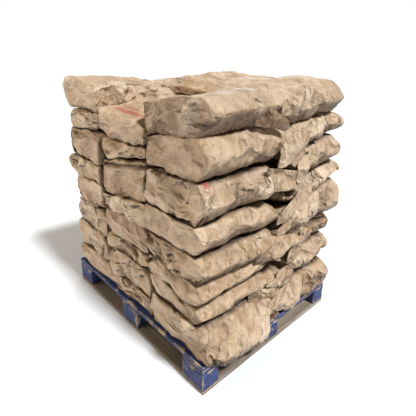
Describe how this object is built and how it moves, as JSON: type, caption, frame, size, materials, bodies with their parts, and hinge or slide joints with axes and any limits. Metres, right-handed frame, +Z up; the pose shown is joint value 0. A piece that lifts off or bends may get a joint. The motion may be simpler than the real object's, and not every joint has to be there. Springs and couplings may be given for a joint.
{
  "type": "pallet load of paper sacks",
  "caption": "Wooden four-way block pallet loaded with column-stacked filled paper sacks; each top sack lifts off.",
  "frame": {"origin": "on the floor, under the middle of the pallet's outline", "axes": "+X along the pallet's long side, +Y along its short side, +Z up"},
  "size_m": [1.2461, 1.085, 1.344],
  "materials": {
    "kraft_paper": "matt natural kraft, creased and dusty",
    "painted_wood": "worn blue paint on rough sawn softwood",
    "bare_wood": "weathered grey-brown, traces of blue paint",
    "nail_steel": "dull, slightly rusted"
  },
  "bodies": {
    "root": {"base_centre_board": "bare_wood", "base_end_boards": "bare_wood", "base_nails": "nail_steel", "base_side_boards": "bare_wood", "centre_block": "painted_wood", "corner_blocks": "painted_wood", "deck_inner_boards": "painted_wood", "deck_lead_boards": "painted_wood", "deck_nails": "nail_steel", "end_blocks": "painted_wood", "sack_1_back_left": "kraft_paper", "sack_1_back_middle": "kraft_paper", "sack_1_back_right": "kraft_paper", "sack_1_front_left": "kraft_paper", "sack_1_front_middle": "kraft_paper", "sack_1_front_right": "kraft_paper", "sack_2_back_left": "kraft_paper", "sack_2_back_middle": "kraft_paper", "sack_2_back_right": "kraft_paper", "sack_2_front_left": "kraft_paper", "sack_2_front_middle": "kraft_paper", "sack_2_front_right": "kraft_paper", "sack_3_back_left": "kraft_paper", "sack_3_back_middle": "kraft_paper", "sack_3_back_right": "kraft_paper", "sack_3_front_left": "kraft_paper", "sack_3_front_middle": "kraft_paper", "sack_3_front_right": "kraft_paper", "sack_4_back_left": "kraft_paper", "sack_4_back_middle": "kraft_paper", "sack_4_back_right": "kraft_paper", "sack_4_front_left": "kraft_paper", "sack_4_front_middle": "kraft_paper", "sack_4_front_right": "kraft_paper", "sack_5_back_left": "kraft_paper", "sack_5_back_middle": "kraft_paper", "sack_5_back_right": "kraft_paper", "sack_5_front_left": "kraft_paper", "sack_5_front_middle": "kraft_paper", "sack_5_front_right": "kraft_paper", "sack_6_back_left": "kraft_paper", "sack_6_back_middle": "kraft_paper", "sack_6_back_right": "kraft_paper", "sack_6_front_left": "kraft_paper", "sack_6_front_middle": "kraft_paper", "sack_6_front_right": "kraft_paper", "sack_7_back_left": "kraft_paper", "sack_7_back_middle": "kraft_paper", "sack_7_back_right": "kraft_paper", "sack_7_front_left": "kraft_paper", "sack_7_front_middle": "kraft_paper", "sack_7_front_right": "kraft_paper", "side_blocks": "painted_wood", "stringer_boards": "painted_wood"},
    "top_back_left": {"sack_8_back_left": "kraft_paper"},
    "top_back_middle": {"sack_8_back_middle": "kraft_paper"},
    "top_back_right": {"sack_8_back_right": "kraft_paper"},
    "top_front_left": {"sack_8_front_left": "kraft_paper"},
    "top_front_middle": {"sack_8_front_middle": "kraft_paper"},
    "top_front_right": {"sack_8_front_right": "kraft_paper"}
  },
  "joints": [
    {"name": "lift_back_left", "type": "slide", "parent": "root", "child": "top_back_left", "axis": [0, 0, 1], "range_m": [0, 0.3]},
    {"name": "lift_back_middle", "type": "slide", "parent": "root", "child": "top_back_middle", "axis": [0, 0, 1], "range_m": [0, 0.3]},
    {"name": "lift_back_right", "type": "slide", "parent": "root", "child": "top_back_right", "axis": [0, 0, 1], "range_m": [0, 0.3]},
    {"name": "lift_front_left", "type": "slide", "parent": "root", "child": "top_front_left", "axis": [0, 0, 1], "range_m": [0, 0.3]},
    {"name": "lift_front_middle", "type": "slide", "parent": "root", "child": "top_front_middle", "axis": [0, 0, 1], "range_m": [0, 0.3]},
    {"name": "lift_front_right", "type": "slide", "parent": "root", "child": "top_front_right", "axis": [0, 0, 1], "range_m": [0, 0.3]}
  ]
}
